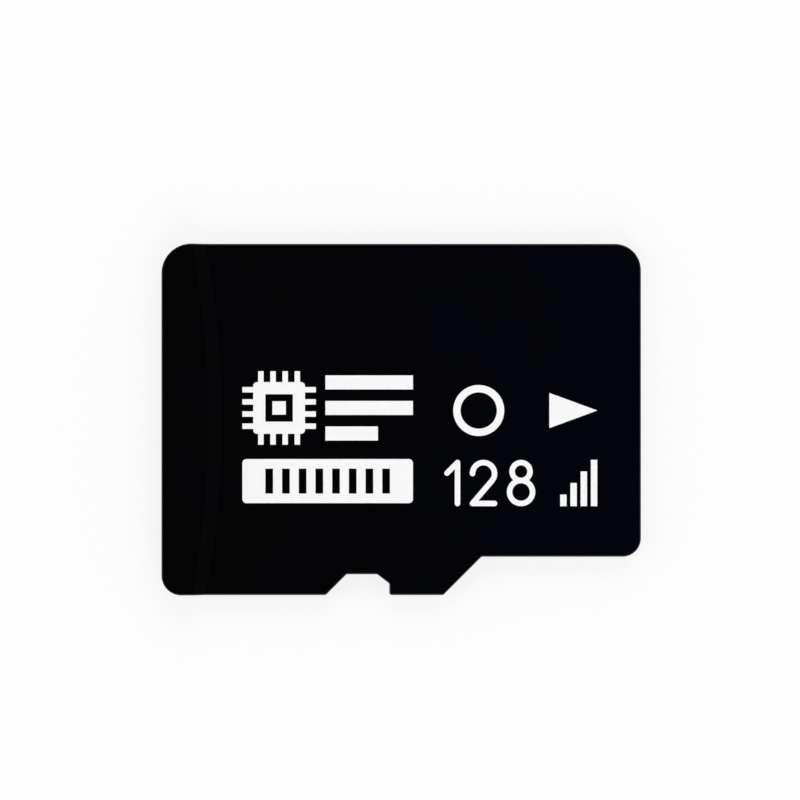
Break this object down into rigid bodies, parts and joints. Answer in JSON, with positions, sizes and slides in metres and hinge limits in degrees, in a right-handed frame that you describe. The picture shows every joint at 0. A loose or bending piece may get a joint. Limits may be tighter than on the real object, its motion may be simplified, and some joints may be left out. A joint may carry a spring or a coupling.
{
  "type": "microsd card",
  "caption": "Thin rectangular removable flash memory card with a side notch, a stepped edge, a thumb ridge and a row of gold contacts on its underside.",
  "frame": {"origin": "under the middle of the card, on its contact face", "axes": "+X from the thumb ridge to the contact end, +Y from the notched edge to the straight edge, +Z from the contact face up to the label face"},
  "size_m": [0.015, 0.011, 0.001],
  "materials": {
    "moulding": "black filled epoxy with a fine mould texture",
    "ink": "white screen-printed ink",
    "laminate": "glass-epoxy laminate",
    "mask": "satin black solder mask",
    "contact_gold": "hard gold plate over nickel",
    "copper": "plated copper",
    "silicon": "ground silicon",
    "die_film": "die-attach film",
    "bond_gold": "drawn gold wire",
    "capacitor_ceramic": "fired ceramic",
    "resistor_ceramic": "white alumina",
    "tin": "matt tin plate",
    "solder": "reflowed solder"
  },
  "bodies": {
    "root": {"board_copper": "copper", "board_core": "laminate", "capacitor_1": "capacitor_ceramic", "capacitor_2": "capacitor_ceramic", "capacitor_3": "capacitor_ceramic", "capacitor_4": "capacitor_ceramic", "chip_side_mask": "mask", "contact_1": "contact_gold", "contact_2": "contact_gold", "contact_3": "contact_gold", "contact_4": "contact_gold", "contact_5": "contact_gold", "contact_6": "contact_gold", "contact_7": "contact_gold", "contact_8": "contact_gold", "contact_side_mask": "mask", "contact_vias": "copper", "controller_bond_wires": "bond_gold", "controller_die": "silicon", "controller_film": "die_film", "front_print": "ink", "lower_die_film": "die_film", "lower_memory_die": "silicon", "memory_bond_wires": "bond_gold", "moulded_body": "moulding", "passive_end_caps": "tin", "resistor_1": "resistor_ceramic", "resistor_2": "resistor_ceramic", "solder_joints": "solder", "upper_die_film": "die_film", "upper_memory_die": "silicon"}
  },
  "joints": []
}
